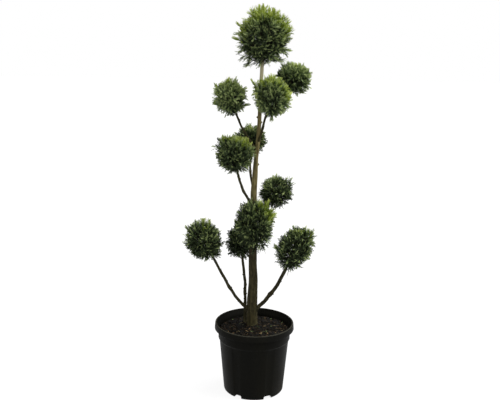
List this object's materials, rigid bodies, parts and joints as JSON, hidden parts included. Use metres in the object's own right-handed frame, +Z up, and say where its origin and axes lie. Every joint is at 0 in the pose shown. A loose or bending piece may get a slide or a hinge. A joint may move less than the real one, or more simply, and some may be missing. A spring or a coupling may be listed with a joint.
{
  "type": "potted clipped pompon conifer",
  "caption": "Evergreen conifer with dense foliage clipped into round pompons on bare boughs, upright trunk, in a round nursery pot of soil.",
  "frame": {"origin": "centre of the pot's flat underside", "axes": "+Z up along the trunk; -Y is the side that faced the camera in the picture and +X is its right"},
  "size_m": [0.6085, 0.3754, 1.7595],
  "materials": {
    "pot_plastic": "black moulded plastic with a soft sheen",
    "potting_soil": "damp dark potting soil with bark chips",
    "trunk_bark": "olive brown bark, greyer and paler towards the top",
    "bough_bark": "thin olive brown bark",
    "foliage_bright": "yellow-green scale-leaf sprays",
    "foliage_green": "mid green scale-leaf sprays with fresher tips",
    "foliage_shaded": "deep green shaded sprays"
  },
  "bodies": {
    "root": {"pot": "pot_plastic", "soil": "potting_soil", "trunk": "trunk_bark", "side_stem": "bough_bark", "bough_back": "bough_bark", "bough_lower_left": "bough_bark", "bough_lower_right": "bough_bark", "bough_middle_left": "bough_bark", "bough_middle_right": "bough_bark", "bough_upper_front": "bough_bark", "bough_upper_left": "bough_bark", "bough_upper_right": "bough_bark", "foliage_crown": "foliage_bright", "foliage_upper_right": "foliage_green", "foliage_upper_left": "foliage_green", "foliage_upper_front": "foliage_green", "foliage_back": "foliage_shaded", "foliage_middle_left": "foliage_green", "foliage_middle_right": "foliage_green", "foliage_centre": "foliage_green", "foliage_low_back": "foliage_shaded", "foliage_lower_left": "foliage_green", "foliage_lower_right": "foliage_green"}
  },
  "joints": []
}
